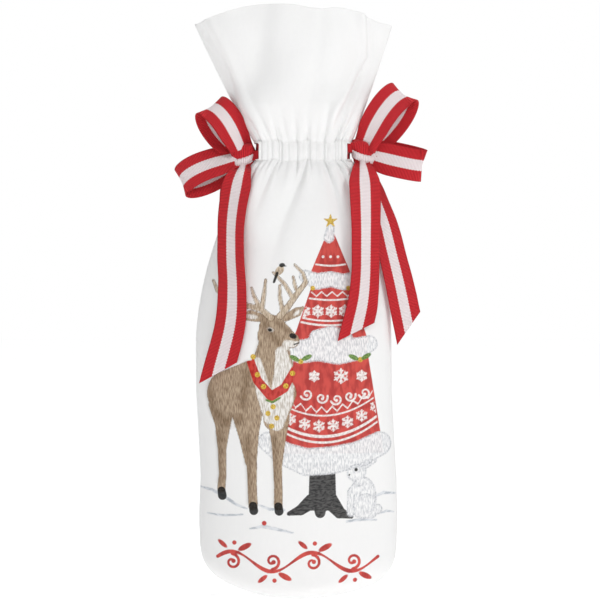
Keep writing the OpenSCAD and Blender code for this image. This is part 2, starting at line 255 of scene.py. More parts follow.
# ---- Gathers and folds ----
# A gather is a valley that runs up and down from the channel: its place across the neck, from -1 (left
# seam) to 1 (right seam), its depth, how far it runs down, how far it runs up, and how it slants in each.
FRONT_GATHERS = [
    (-0.95, 0.5, 16, 14, 0.0, 0.0), (-0.86, 2.2, 34, 44, 0.05, 0.02), (-0.74, 0.7, 14, 12, -0.06, 0.0),
    (-0.64, 1.2, 12, 56, 0.0, -0.07), (-0.50, 2.6, 24, 14, -0.10, 0.02), (-0.44, 1.7, 8, 10, 0.0, 0.0),
    (-0.30, 0.5, 12, 26, 0.0, -0.03), (-0.115, 2.6, 14, 12, -0.02, 0.02), (0.0, 0.4, 10, 10, 0.0, 0.0),
    (0.088, 2.8, 56, 10, -0.28, 0.0), (0.13, 1.5, 10, 14, 0.03, 0.0), (0.27, 0.4, 12, 18, 0.0, 0.03),
    (0.43, 2.9, 52, 18, 0.05, 0.02), (0.50, 0.5, 12, 12, 0.0, 0.0), (0.655, 3.2, 22, 60, 0.06, 0.12),
    (0.71, 1.6, 14, 14, 0.0, 0.0), (0.78, 2.2, 40, 52, 0.26, 0.13), (0.87, 1.2, 18, 20, 0.05, 0.04),
    (0.95, 0.5, 20, 16, 0.0, 0.0),
]
BACK_GATHERS = [
    (-0.95, 0.5, 20, 16, 0.0, 0.0), (-0.85, 2.0, 40, 26, 0.04, 0.0), (-0.73, 1.3, 14, 12, 0.0, 0.0),
    (-0.61, 2.0, 30, 46, -0.08, -0.06), (-0.49, 1.4, 16, 14, 0.0, 0.0), (-0.38, 2.3, 52, 20, 0.14, 0.0),
    (-0.25, 1.2, 14, 24, 0.0, 0.03), (-0.12, 2.0, 34, 18, -0.10, 0.0), (0.0, 1.1, 12, 10, 0.0, 0.0),
    (0.12, 1.7, 22, 50, 0.03, -0.04), (0.24, 1.3, 14, 12, 0.0, 0.0), (0.35, 2.3, 54, 22, 0.12, 0.0),
    (0.48, 1.3, 18, 20, 0.0, 0.03), (0.62, 2.1, 32, 56, -0.04, 0.10), (0.74, 1.5, 16, 14, 0.0, 0.0),
    (0.84, 2.0, 44, 26, 0.08, 0.0), (0.95, 0.5, 20, 18, 0.0, 0.0),
]


def gathers(c, z, half_w, valleys):
    """How far the cloth stands out at place c across the bag and height z."""
    below = np.clip(NECK_Z - z, 0, None)
    above = np.clip(z - CHANNEL_TOP, 0, None)
    total = np.zeros(np.broadcast(c, z).shape)
    for place, depth, down, up, slant_down, slant_up in valleys:
        at = place + slant_down * np.tanh(below / 45) * 1.5 + slant_up * np.tanh(above / 45) * 1.5
        width = 0.6 + 0.02 * depth + 0.11 * below + 0.095 * above
        fade = np.exp(-((below / down) ** 1.4)) * np.exp(-((above / up) ** 1.4))
        x = (c - at) * half_w
        # a fold is steeper on one side
        shape = np.exp(-((np.abs(x) / (width * np.where(x > 0, 0.75, 1.35))) ** 1.6) / 1.4)
        total -= depth * fade * (1 + 0.55 * smooth(below / 9) + 0.45 * smooth(above / 9)) * shape
    # the cloth puffs out where the stitching lets it go
    uneven = 1 + 0.3 * np.sin(c * 9 + 1) + 0.25 * np.sin(c * 21)
    puff = 1.6 * uneven * np.exp(-(((below - 11) / 10) ** 2)) * smooth(below / 7)
    puff = puff + 1.9 * uneven * np.exp(-(((above - 9) / 9) ** 2)) * smooth(above / 5)
    in_channel = (below == 0) & (above == 0)
    mid = np.clip((z - NECK_Z) / (CHANNEL_TOP - NECK_Z), 0, 1)
    puff = puff + np.where(in_channel, 0.6 * np.sin(math.pi * mid) ** 2, 0)
    total = np.where(in_channel, -2.0 * np.tanh(-total / 2.0) * (1 - 0.8 * c**4), total)
    edge = 1 - np.abs(c) ** 14
    for row in (NECK_Z, CHANNEL_TOP):
        total -= 0.25 * bump(z, row, 1.0)
    return total * edge + puff * (1 - np.abs(c) ** 5)


def rolling(c, z, phase):
    """The slow unevenness of filled cloth."""
    s = c * 66
    wave = np.sin(s / 17 + z / 41 + phase) * np.sin(z / 29 - s / 37 + 1.7 * phase)
    wave = wave + 0.6 * np.sin(s / 9.5 - z / 23 + 2.1 * phase) * np.sin(z / 17 + s / 31 + phase)
    inside = smooth(z / 40) * smooth((NECK_Z + 4 - z) / 60)
    broad = 0.9 * np.sin(z / 33 + 0.9 + 1.4 * c) * (1 - 0.5 * c**2)
    return (0.5 * wave + broad) * inside * (1 - c**4)


# The header's two fold lines: heights, and how far to the right of the middle each line is there.
LEFT_FOLD = ([CHANNEL_TOP, 332, 348, 363, 376, BAG_H], [-23, -36, -40, -45, -51, -64])
RIGHT_FOLD = ([CHANNEL_TOP, 318, 331, 350, 366, 392, BAG_H], [22, 25, 30, 39, 46.5, 45.5, 44])


def header_folds(c, z, side):
    """The header's front stands forward between two soft fold lines, and its edge waves."""
    t = np.clip((z - CHANNEL_TOP) / (BAG_H - CHANNEL_TOP), 0, 1)
    half_w = mix(NECK_W, HEADER_W, t**0.92) / 2
    x = mix(NECK_LEAN, HEADER_X, t) + c * half_w
    left_line = np.interp(z, *LEFT_FOLD) - 4 * side
    right_line = np.interp(z, *RIGHT_FOLD) - 9 * side
    upper = 1 - smooth((t - 0.82) / 0.2)
    left_step = smooth((x - left_line + 2.0) / 4.0)
    right_step = smooth((right_line - x + 1.0) / 2.0)
    rise = smooth(t * 3.4)
    forward = 3.4 * left_step * mix(0.35, 1, upper) + 4.2 * right_step
    # each line has a rounded lip on its inner side and a groove on its outer side
    lip = 2.0 * bump(x, right_line - 2.6, 2.2) - 1.7 * bump(x, right_line + 2.4, 1.7)
    lip = lip + upper * (1.8 * bump(x, left_line + 3.4, 2.6) - 1.5 * bump(x, left_line - 3.2, 2.2))
    # two shallow valleys run down from the mouth, one each side of the middle
    valleys = 1.1 * bump(x, -22 + 6 * np.sin(z / 30), 4.5) + 0.8 * bump(x, 12 + (z - 350) / 9, 3.5)
    waves = 1.7 * np.sin(x / 11.5 + 0.8 + side) + 0.9 * np.sin(x / 5.6 + z / 40 + side)
    ripple = 0.7 * np.sin(x / 8 - z / 19 + side) * np.sin(z / 14 + x / 33)
    total = rise * (forward + lip) - smooth(t * 2) * valleys
    total = total + smooth(t * 1.6) * waves + smooth(t * 3) * ripple
    return total * (1 - np.abs(c) ** 7) * (t > 0)


def header_rise(c, z, side):
    """The uneven line of the mouth's edge."""
    t = smooth((z - CHANNEL_TOP) / (BAG_H - CHANNEL_TOP) * 1.1 - 0.1)
    x = HEADER_X + c * HEADER_W / 2
    if side:
        return t * (1.0 * np.sin(x / 13 + 1) - 0.4)
    bumps = ((1.6, -33, 14), (-2.4, 13, 8), (0.9, 31, 7), (0.6, 45, 4), (-1.9, 56, 5))
    return t * sum(height * bump(x, place, width) for height, place, width in bumps)


def cloth_points(rings, angle, e, side, fold_amount=1.0):
    """Points of the cloth on the front (side 0) or back (side 1), set in by e from the outside."""
    c = -np.cos(angle)[None, :]
    z = rings.points(angle, 0)[..., 2]
    half_w = rings.w
    valleys = BACK_GATHERS if side else FRONT_GATHERS
    wave = gathers(c, z, half_w, valleys) + rolling(c, z, 2.4 * side)
    wave = wave + header_folds(c, z, side)
    seam = 0.7 * (bump(c, -1, 0.012) + bump(c, 1, 0.012)) * smooth((NECK_Z - z) / 20)
    wave = (wave - seam) * fold_amount
    p = rings.points(angle, e, wave)
    p[..., 2] += header_rise(c, z, side)
    # the channel's rows wander a little, as gathered stitching does
    wander = 0.7 * np.sin(c * 8.5 + 0.7 + side) + 0.45 * np.sin(c * 19 + 2 * side)
    p[..., 2] += wander * (1 - c**6) * np.exp(-(((z - (NECK_Z + CHANNEL_TOP) / 2) / 17) ** 4))
    if side:
        p[..., 1] *= -1
    # cloth never crosses the plane between the front and the back
    p[..., 1] = np.maximum(p[..., 1], 0) if side else np.minimum(p[..., 1], 0)
    return p


def panel_rings(step):
    stages = [rim_ring(0)]
    stages += [rim_ring(s) for s in spaced(0, math.pi / 2, 0.09 * step)]
    stages += [body_ring(z / SHOULDER_Z) for z in spaced(0, SHOULDER_Z, 1.3 * step)]
    stages += [shoulder_ring(t) for t in spaced(0, 1, 0.0088 * step)]
    stages += [channel_ring(z) for z in spaced(NECK_Z, CHANNEL_TOP, 0.7 * step)]
    stages += [header_ring(t) for t in spaced(0, 1, 0.015 * step)]
    return stages


def panel(name, side, step, count, material):
    angle = columns(count)
    rings = Rings(panel_rings(step))
    body = cloth_points(rings, angle, 0.0, side)
    seam = body[:1].copy()
    rows = [seam * (0.96, t, 1) for t in (0.0, 0.3, 0.65)]
    top = Rings([header_ring(1)])
    over = []
    for turn in (0.25, 0.5, 0.75, 1.0):
        e = FACING_GAP / 2 * (1 - math.cos(turn * math.pi))
        row = cloth_points(top, angle, e, side)
        row[..., 2] += 0.5 * math.sin(turn * math.pi)
        over.append(row)
    p = np.concatenate(rows + [body] + over)
    n_rows, n_cols = p.shape[:2]
    centre_x = (p[:-1, :-1, 0] + p[1:, 1:, 0]) / 2 - NECK_LEAN
    centre_z = (p[:-1, :-1, 2] + p[1:, 1:, 2]) / 2
    in_channel = (centre_z > NECK_Z + SLIT_EDGE) & (centre_z < CHANNEL_TOP - SLIT_EDGE)
    slit = (np.abs(centre_x) > SLIT_X) & in_channel
    uv = uv_grid(run_length(p[n_rows // 3, :, :2]) * MM, run_length(p[:, n_cols // 2]) * MM)
    faces = grid_faces(n_rows, n_cols, keep=~slit, flip=bool(side))
    return make_mesh(name, p.reshape(-1, 3), faces, material, uv), p


HEM_T = 1 - HEM / (NECK_Z - SHOULDER_Z)  # where the facing's edge lies on the shoulder, from 0 to 1


def facing(name, side, count, material):
    angle = columns(count)
    header_rings = [header_ring(0)] + [header_ring(t) for t in spaced(0, 1, 0.03)]
    header = cloth_points(Rings(header_rings), angle, FACING_GAP, side)
    wall_rings = [channel_ring(z) for z in spaced(NECK_Z + 0.6, CHANNEL_TOP - 0.8, 1.0)]
    wall = cloth_points(Rings(wall_rings), angle, CHANNEL_GAP + 0.35, side, 0.25)
    edge_rings = [shoulder_ring(HEM_T), shoulder_ring(0.975), channel_ring(NECK_Z)]
    edge = cloth_points(Rings(edge_rings), angle, FACING_GAP + 0.1, side)
    p = np.concatenate([edge, wall, header])
    n_rows, n_cols = p.shape[:2]
    uv = uv_grid(np.linspace(0, 165, n_cols) * MM, run_length(p[:, n_cols // 2]) * MM)
    return make_mesh(name, p.reshape(-1, 3), grid_faces(n_rows, n_cols, flip=not side), material, uv)


# ---- Materials ----
class Nodes:
    """A short way to write a material's nodes."""

    def __init__(self, name):
        self.material = bpy.data.materials.new(name)
        self.material.use_nodes = True
        self.tree = self.material.node_tree
        self.shader = self.tree.nodes["Principled BSDF"]

    def add(self, kind, **settings):
        node = self.tree.nodes.new(kind)
        for key, value in settings.items():
            setattr(node, key, value)
        return node

    def join(self, source, target):
        self.tree.links.new(source, target)

    def math(self, operation, a, b=0.0, clamp=False):
        node = self.add("ShaderNodeMath", operation=operation, use_clamp=clamp)
        for socket, value in zip(node.inputs, (a, b)):
            if isinstance(value, (int, float)):
                socket.default_value = value
            else:
                self.join(value, socket)
        return node.outputs[0]

    def blend(self, factor, a, b):
        node = self.add("ShaderNodeMix", data_type="RGBA")
        for socket, value in ((node.inputs[0], factor), (node.inputs[6], a), (node.inputs[7], b)):
            if isinstance(value, tuple):
                socket.default_value = (*value, 1)
            elif isinstance(value, (int, float)):
                socket.default_value = value
            else:
                self.join(value, socket)
        return node.outputs[2]

    def noise(self, scale, detail=2.0, vector=None):
        node = self.add("ShaderNodeTexNoise")
        node.inputs["Scale"].default_value = scale
        node.inputs["Detail"].default_value = detail
        if vector is not None:
            self.join(vector, node.inputs["Vector"])
        return node.outputs["Fac"]

    def hair(self, u, v, across, along):
        """Uneven streaks, spaced by across and along."""
        vector = self.add("ShaderNodeCombineXYZ")
        self.join(self.math("MULTIPLY", u, 1 / across), vector.inputs[0])
        self.join(self.math("MULTIPLY", v, 1 / along), vector.inputs[1])
        return self.noise(1.0, 2.0, vector.outputs[0])

    def ramp(self, value, low, high):
        """0 below low, 1 above high, smooth between; low may be above high."""
        node = self.add("ShaderNodeMapRange", interpolation_type="SMOOTHSTEP")
        if low > high:
            node.inputs[3].default_value, node.inputs[4].default_value = 1, 0
            low, high = high, low
        node.inputs[1].default_value, node.inputs[2].default_value = low, high
        self.join(value, node.inputs[0])
        return node.outputs[0]

    def uv(self):
        node = self.add("ShaderNodeSeparateXYZ")
        self.join(self.add("ShaderNodeUVMap", uv_map="UVMap").outputs[0], node.inputs[0])
        return node.outputs[0], node.outputs[1]

    def attribute(self, name):
        return self.add("ShaderNodeAttribute", attribute_name=name).outputs["Fac"]

    def thread_wave(self, coordinate, pitch):
        """A wave from -1 to 1 for each thread's width."""
        return self.math("SINE", self.math("MULTIPLY", coordinate, 2 * math.pi / pitch))

    def bump(self, height, distance, strength=1.0):
        node = self.add("ShaderNodeBump")
        node.inputs["Strength"].default_value = strength
        node.inputs["Distance"].default_value = distance
        self.join(height, node.inputs["Height"])
        self.join(node.outputs[0], self.shader.inputs["Normal"])

    def colour(self, source):
        self.join(source, self.shader.inputs["Base Color"])

    def finish(self, roughness, sheen=0.0, specular=0.3):
        self.shader.inputs["Roughness"].default_value = roughness
        self.shader.inputs["Sheen Weight"].default_value = sheen
        self.shader.inputs["Specular IOR Level"].default_value = specular
        return self.material


WEAVE = 0.00052  # spacing of the cotton's threads, in metres
INKS = [
    # attribute, dark and light colours, then in mm the edge's unevenness and the hairs' spacing
    ("ink_snow", (0.46, 0.49, 0.54), (0.74, 0.76, 0.79), 1.2, (5.0, 2.0)),
    ("ink_red", (0.42, 0.022, 0.018), (0.62, 0.06, 0.045), 0.3, (4.0, 11.0)),
    ("ink_white", (0.74, 0.66, 0.64), (0.93, 0.89, 0.87), 0.3, (1.5, 1.5)),
    ("ink_black", (0.008, 0.008, 0.009), (0.075, 0.073, 0.072), 0.5, (3.0, 1.1)),
    ("ink_fur", (0.64, 0.65, 0.67), (0.93, 0.93, 0.93), 2.2, (0.9, 3.4)),
    ("ink_grey", (0.42, 0.43, 0.46), (0.74, 0.75, 0.77), 1.3, (1.2, 1.6)),
    ("ink_tan", (0.25, 0.165, 0.10), (0.49, 0.37, 0.255), 0.5, (0.7, 4.5)),
    ("ink_light", (0.58, 0.53, 0.47), (0.90, 0.88, 0.85), 1.8, (0.8, 4.5)),
    ("ink_brown", (0.13, 0.085, 0.05), (0.32, 0.22, 0.14), 0.5, (0.8, 3.0)),
    ("ink_shade", (0.13, 0.08, 0.045), (0.28, 0.19, 0.12), 1.0, (0.7, 4.0)),
    ("ink_horn", (0.38, 0.28, 0.19), (0.66, 0.55, 0.42), 0.3, (1.2, 4.0)),
    ("ink_collar", (0.42, 0.02, 0.018), (0.60, 0.05, 0.04), 0.3, (2.0, 4.0)),
    ("ink_gold", (0.45, 0.26, 0.03), (0.80, 0.58, 0.10), 0.2, (1.0, 1.0)),
    ("ink_green", (0.06, 0.15, 0.03), (0.22, 0.36, 0.09), 0.2, (1.0, 1.0)),
    ("ink_dark", (0.008, 0.008, 0.008), (0.03, 0.03, 0.03), 0.2, (1.0, 1.0)),
]
INK_EDGE, SHADE_EDGE = 0.22, 2.6  # softness of an edge, and of the deer's shading, in mm


def cotton(name, printed=False):
    m = Nodes(name)
    u, v = m.uv()
    warp, weft = m.thread_wave(u, WEAVE), m.thread_wave(v, WEAVE)
    plain = m.math("MULTIPLY", warp, weft)
    slub = m.noise(900, 3)
    cloudy = m.noise(60, 2)
    cloud = m.math("ADD", slub, m.math("MULTIPLY", cloudy, 0.3))
    # the weave's crossings tint the colour a little, painted shade between the threads; the slubs and clouds
    # are the cotton's own uneven tone
    tone = m.ramp(m.math("ADD", m.math("MULTIPLY", plain, 0.10), cloud), 0.35, 0.95)
    base = m.blend(tone, (0.875, 0.875, 0.872), (0.915, 0.915, 0.912))
    height = m.math("ADD", plain, m.math("MULTIPLY", slub, 1.6))
    if printed:
        ragged = m.noise(750, 3)
        for attribute, dark, light, rough, (across, along) in INKS:
            soft, strength = (SHADE_EDGE, 0.7) if attribute == "ink_shade" else (INK_EDGE, 0.96)
            uneven = m.math("MULTIPLY", m.math("SUBTRACT", ragged, 0.5), 2 * rough)
            mask = m.ramp(m.math("ADD", m.attribute(attribute), uneven), soft, -soft)
            # a trace of the weave's painted shade shows in the ink too
            hair = m.math("ADD", m.hair(u, v, across * MM, along * MM), m.math("MULTIPLY", plain, 0.03))
            ink = m.blend(m.ramp(hair, 0.36, 0.62), dark, light)
            base = m.blend(m.math("MULTIPLY", mask, strength), base, ink)
    m.colour(base)
    m.bump(height, 0.00005, 0.55)
    return m.finish(0.95, 0.0, 0.1)


def grosgrain():
    """Red ribbon with ribs and a white stripe; u runs across it from 0 to 1, v along it in metres."""
    m = Nodes("ribbon_grosgrain")
    u, v = m.uv()
    rib = m.thread_wave(v, 0.00095)
    tooth = m.thread_wave(v, 0.0019)
    from_middle = m.math("ABSOLUTE", m.math("SUBTRACT", u, 0.505))
    edge = m.math("ADD", from_middle, m.math("MULTIPLY", tooth, 0.009))
    stripe = m.ramp(edge, 0.172, 0.160)
    fibre = m.noise(1500, 2)
    # the ribs lighten and darken the colour, painted shade in their hollows, mixed with the fibres' own
    # uneven tone
    rib_shade_and_fibre_tone = m.ramp(m.math("ADD", fibre, m.math("MULTIPLY", rib, 0.34)), 0.15, 0.85)
    red = m.blend(rib_shade_and_fibre_tone, (0.36, 0.007, 0.012), (0.70, 0.026, 0.036))
    white = m.blend(rib_shade_and_fibre_tone, (0.74, 0.63, 0.64), (0.94, 0.86, 0.87))
    selvedge = m.ramp(from_middle, 0.475, 0.492)
    red = m.blend(m.math("MULTIPLY", selvedge, 0.5), red, (0.40, 0.01, 0.016))
    m.colour(m.blend(stripe, red, white))
    m.bump(m.math("ADD", rib, m.math("MULTIPLY", fibre, 0.5)), 0.00016, 0.8)
    return m.finish(0.68, 0.08, 0.2)


def thread():
    m = Nodes("cotton_thread")
    twist = m.noise(2500, 2)
    m.colour(m.blend(twist, (0.80, 0.80, 0.79), (0.92, 0.92, 0.91)))
    m.bump(twist, 0.00008, 0.5)
    return m.finish(0.7, 0.2, 0.3)


def overlock():
    """Seam allowances bound together by rows of looped thread."""
    m = Nodes("overlocked_edge")
    u, v = m.uv()
    loops = m.thread_wave(m.math("ADD", v, m.math("MULTIPLY", m.thread_wave(u, 0.004), 0.0004)), 0.0016)
    fibre = m.noise(1200, 2)
    # lighter on the thread's loops and darker between them, painted shade that follows the same loops as the
    # bump
    m.colour(m.blend(m.ramp(loops, -0.6, 0.6), (0.70, 0.70, 0.69), (0.90, 0.90, 0.89)))
    m.bump(m.math("ADD", loops, fibre), 0.00015, 0.7)
    return m.finish(0.85, 0.15, 0.2)


def floor_paint():
    m = Nodes("studio_floor")
    m.colour(m.blend(m.noise(3, 2), (0.93, 0.93, 0.93), (0.94, 0.94, 0.94)))
    m.shader.inputs["Emission Color"].default_value = (1, 1, 1, 1)
    m.shader.inputs["Emission Strength"].default_value = 0.42
    return m.finish(0.9, 0.0, 0.1)


# ---- The print: signed distances in millimetres, negative inside the ink ----
class Print:
    """Shapes drawn at the cloth's points, as seen from the front."""

    def __init__(self, x, z):
        self.x, self.z = x, z

    def disc(self, cx, cz, r):
        return np.hypot(self.x - cx, self.z - cz) - r

    def oval(self, cx, cz, rx, rz, turn=0.0):
        a = math.radians(turn)
        dx, dz = self.x - cx, self.z - cz
        u, v = dx * math.cos(a) + dz * math.sin(a), dz * math.cos(a) - dx * math.sin(a)
        k = np.hypot(u / rx, v / rz)
        return (k - 1) * min(rx, rz)

    def limb(self, *points):
        """A run of tapered strokes through points of (x, z, radius)."""
        best = np.full(self.x.shape, 1e3)
        for (ax, az, ar), (bx, bz, br) in zip(points, points[1:]):
            dx, dz = bx - ax, bz - az
            t = np.clip(((self.x - ax) * dx + (self.z - az) * dz) / (dx * dx + dz * dz), 0, 1)
            best = np.minimum(best, np.hypot(self.x - ax - t * dx, self.z - az - t * dz) - mix(ar, br, t))
        return best

    def arc(self, cx, cz, r, start, end, width):
        """A curved stroke from angle start to end, in degrees."""
        steps = max(4, int(abs(end - start) / 15))
        angles = [math.radians(mix(start, end, n / steps)) for n in range(steps + 1)]
        return self.limb(*[(cx + r * math.cos(a), cz + r * math.sin(a), width) for a in angles])

    def convex(self, *corners):
        """A convex outline from corners that run counter-clockwise."""
        worst = np.full(self.x.shape, -1e3)
        for (ax, az), (bx, bz) in zip(corners, corners[1:] + corners[:1]):
            length = math.hypot(bx - ax, bz - az)
            worst = np.maximum(worst, ((self.x - ax) * (bz - az) - (self.z - az) * (bx - ax)) / length)
        return worst

    def curl(self, cx, cz, r, start, turns, width, sign=1):
        """A spiral stroke that winds in to its middle."""
        steps = int(abs(turns) * 16)
        path = []
        for n in range(steps + 1):
            t = n / steps
            a = math.radians(start) + sign * t * turns * 2 * math.pi
            reach = r * (1 - 0.8 * t)
            path.append((cx + reach * math.cos(a), cz + reach * math.sin(a), width * (1 - 0.3 * t)))
        return union(self.limb(*path), self.disc(path[-1][0], path[-1][1], width * 1.5))

    def snowflake(self, cx, cz, r, width):
        best = np.full(self.x.shape, 1e3)
        for n in range(6):
            a = math.radians(60 * n + 30)
            tip = (cx + r * math.cos(a), cz + r * math.sin(a), width * 0.8)
            best = np.minimum(best, self.limb((cx, cz, width), tip))
            for s in (-1, 1):
                b = a + s * math.radians(50)
                at = (cx + 0.55 * r * math.cos(a), cz + 0.55 * r * math.sin(a), width * 0.8)
                end = (at[0] + 0.38 * r * math.cos(b), at[1] + 0.38 * r * math.sin(b), width * 0.6)
                best = np.minimum(best, self.limb(at, end))
        return best


def union(*shapes):
    return np.minimum.reduce(shapes)


def within(shape, mask):
    return np.maximum(shape, mask)


def several(draw, rows):
    """One kind of shape drawn for each row of values."""
    return union(*[draw(*row) for row in rows])


def stroke(distance, half_width, inset=0.0):
    """A line where a distance is zero, or that far inside it."""
    return np.abs(distance + inset) - half_width


def draw_tree(p):
    """Three red tiers with knitted patterns under thick snow, a star, and a dark trunk with roots."""
    x, z = p.x, p.z
    top = p.convex((9, 218), (37, 218), (24.5, 248), (21.5, 248))
    middle = p.convex((-3, 172), (49, 172), (33, 218), (13, 218))
    skirt = p.convex((-9, 98), (59, 98), (46, 178), (0, 178))
    fur = several(p.limb, [
        [(6, 217, 4.0), (14, 213.5, 5.2), (23, 215, 5.0), (32, 213, 5.2), (40, 216.5, 3.8)],
        [(23, 249, 2.4), (22, 243, 3.4)],
        [(-7, 172, 5.5), (3, 166.5, 7.5), (15, 168.5, 8.0), (28, 166, 8.0), (40, 168, 7.5), (49, 171.5, 5.5)],
        [(14, 176, 5), (24, 178, 5.5), (33, 176, 4.5)],
        [(-19, 106, 6.5), (-8, 98, 7.5), (7, 92.5, 9), (23, 93.5, 9), (41, 97, 8.5), (56, 104, 8)],
    ])
    roots = union(p.convex((8, 60), (27, 60), (26, 92), (9, 92)), several(p.limb, [
        [(10, 66, 5), (3, 60.5, 3.6), (-5, 58, 1.4)],
        [(23, 66, 5.5), (29, 58.5, 4.0), (37, 55.5, 1.4)],
        [(16, 66, 6), (16, 58.5, 3.5)],
    ]))
    zigzag = np.abs(((x + 60) % 7.0) - 3.5) * 1.1 - 1.9
    # the skirt's lines follow its curved hem
    line = z - 99 - 0.010 * (x - 18) ** 2
    on_skirt = [stroke(line - h, w) for h, w in ((6.5, 0.75), (10.5, 1.0), (24.5, 0.6))]
    on_skirt.append(stroke(line - 28.5 - zigzag, 0.7))
    for n in range(7):
        cx = -4 + 9.6 * n
        on_skirt.append(p.snowflake(cx, 116.5 + 0.010 * (cx - 18) ** 2, 4.0, 0.6))
    for cx, cz, r, start, sign in (
        (7, 138, 4.2, 200, 1), (17, 135.5, 4.2, 20, -1), (27, 134.5, 4.0, 200, 1), (36, 136.5, 4.0, 20, -1),
        (46, 138.5, 4.2, 200, 1),
    ):
        on_skirt.append(p.curl(cx, cz, r, start, 1.2, 0.7, sign))
    on_skirt += [p.snowflake(cx, 150, r, 0.7) for cx, r in ((12, 3.6), (30, 5.0), (44, 3.6))]
    line = z - 184 - 0.006 * (x - 23) ** 2
    on_middle = [stroke(line - h, w) for h, w in ((0, 0.7), (3, 0.6), (17, 0.6))]
    on_middle += [p.snowflake(cx, 193.5, 4.0, 0.65) for cx in (5.5, 14.5, 23.5, 32.5, 41.5)]
    on_middle.append(stroke(z - 205 - zigzag * 0.8, 0.6))
    on_top = [stroke(z - 224 - 0.01 * (x - 23) ** 2, 0.6)] + [p.disc(cx, 230, 1.0) for cx in (18, 23, 28)]
    white = union(
        within(union(*on_skirt), skirt + 0.8), within(union(*on_middle), middle + 0.8),
        within(union(*on_top), top + 0.6),
    )
    rays = [math.radians(90 + 72 * n) for n in range(5)]
    star = several(p.limb, [
        [(23, 254, 1.5), (23 + 4.6 * math.cos(a), 254 + 4.6 * math.sin(a), 0.3)] for a in rays
    ])
    return union(top, middle, skirt), white, fur, roots, star


def draw_deer(p):
    """A standing deer seen from its right side: its coat, pale parts, shading and antlers."""
    deer = union(p.disc(-18, 177, 8), p.oval(-46, 138, 14, 14.5), several(p.limb, [
        # rump, neck, chest and head
        [(-46, 140, 13.5), (-30, 144, 16), (-22, 144, 16)],
        [(-18, 142, 15), (-16, 158, 13.5), (-15, 172, 10)],
        [(-13, 138, 13), (-14, 121, 8)],
        [(-16, 182, 9), (-9.5, 177.5, 7.2), (-3, 174, 5)],
        # ears
        [(-23, 189, 2.6), (-30.5, 190.5, 3.6), (-37, 188, 0.8)],
        [(-7, 189, 2.2), (0.5, 193, 3.0), (4.5, 196, 0.8)],
        # legs
        [(-50, 130, 9), (-49.5, 117, 5.2), (-50, 100, 2.7), (-49.5, 84, 2.4), (-50.5, 74, 2.6)],
        [(-31, 128, 9), (-30.5, 112, 5.4), (-30, 94, 3.5), (-29.5, 78, 3.0), (-29, 63, 3.0)],
        [(-38, 124, 5), (-35, 108, 3.2), (-32, 92, 2.2)],
        [(-12, 122, 7.5), (-12, 106, 4.6), (-12.5, 90, 2.9), (-12, 76, 2.6), (-12, 63, 2.9)],
    ]))
    ear = (-30, 189.8, 4, 1.6, -8)
    pale = union(
        several(p.limb, [
            [(-10, 166, 4), (-8, 150, 7), (-10, 134, 8), (-13, 118, 4.5)],
            [(-26, 160, 2.5), (-22, 140, 5), (-18, 122, 4)],
            [(-6, 171, 3.4), (0, 170.5, 3)],
        ]),
        several(p.oval, [ear, (0.5, 192.4, 2.6, 1.2, 40), (-17.6, 181.2, 2.4, 1.5, -15)]),
    )
    pale = union(within(pale, deer + 0.3), p.oval(*ear))
    shaded = within(several(p.limb, [
        [(-60, 142, 3), (-57, 128, 3), (-48, 118, 3.5), (-38, 121, 3)],
        [(-51.5, 112, 2), (-52, 80, 1.5)],
        [(-32.5, 108, 2.2), (-32, 66, 1.4)],
        [(-14.8, 108, 2), (-14.5, 66, 1.4)],
        [(-13, 186, 1.4), (-6, 181, 1.2)],
        [(-27, 172, 2), (-32, 158, 2.5)],
        [(-33, 152, 2.5), (-36, 130, 2.5)],
        [(-22, 190, 1.5), (-20, 182, 2.2), (-12, 172, 2.0)],
    ]), deer)
    horns = several(p.limb, [
        [
            (-17, 189, 2.1), (-24, 195, 1.9), (-34, 197.5, 1.7), (-44, 203, 1.5), (-53, 207, 1.2),
            (-56, 214, 0.7),
        ],
        [(-24, 195, 1.5), (-28.5, 204, 1.2), (-30, 209, 0.7)],
        [(-23, 195, 1.5), (-21.5, 206, 1.2), (-20.5, 214.5, 0.7)],
        [(-43, 202.5, 1.3), (-42, 210, 1.0), (-44, 216, 0.7)],
        [(-11, 190, 2.1), (-6, 196, 1.9), (-1, 203, 1.7), (6.5, 213, 1.4), (4.5, 219, 1.1), (-1, 224.5, 0.7)],
        [(-9, 193, 1.5), (-11, 203, 1.2), (-11, 210.5, 0.7)],
        [(-2, 202, 1.5), (-8, 212, 1.2), (-15.5, 219.5, 0.7)],
        [(1, 206, 1.3), (-1, 211, 1.1), (-2, 216.5, 0.7)],
    ])
    return deer, pale, shaded, horns


def draw_scroll(p):
    """A wave with curls, leaves and berries."""
    middle, height, length = 25.5, 6.5, 8.6
    wave = [
        (x, middle + height * math.sin(x / length + 0.3), 1.05 + 0.35 * math.sin(x / (length / 2)))
        for x in range(-53, 57, 2)
    ]
    shapes = [p.limb(*wave)]
    for n in range(-3, 4):
        for sign in (1, -1):
            at = length * (sign * math.pi / 2 + 2 * math.pi * n - 0.3)
            if -48 < at < 50:
                shapes += [
                    p.curl(at, middle - sign * 0.5, 5.4, 90 * sign, 1.15, 1.0, -sign),
                    p.oval(at + 8.5, middle + sign * 9.8, 5.0, 1.9, sign * 28),
                    p.oval(at - 6.5, middle + sign * 11.5, 4.0, 1.5, -sign * 40),
                    p.disc(at + 1.5, middle + sign * 12.5, 1.5),
                ]
    return union(*shapes)


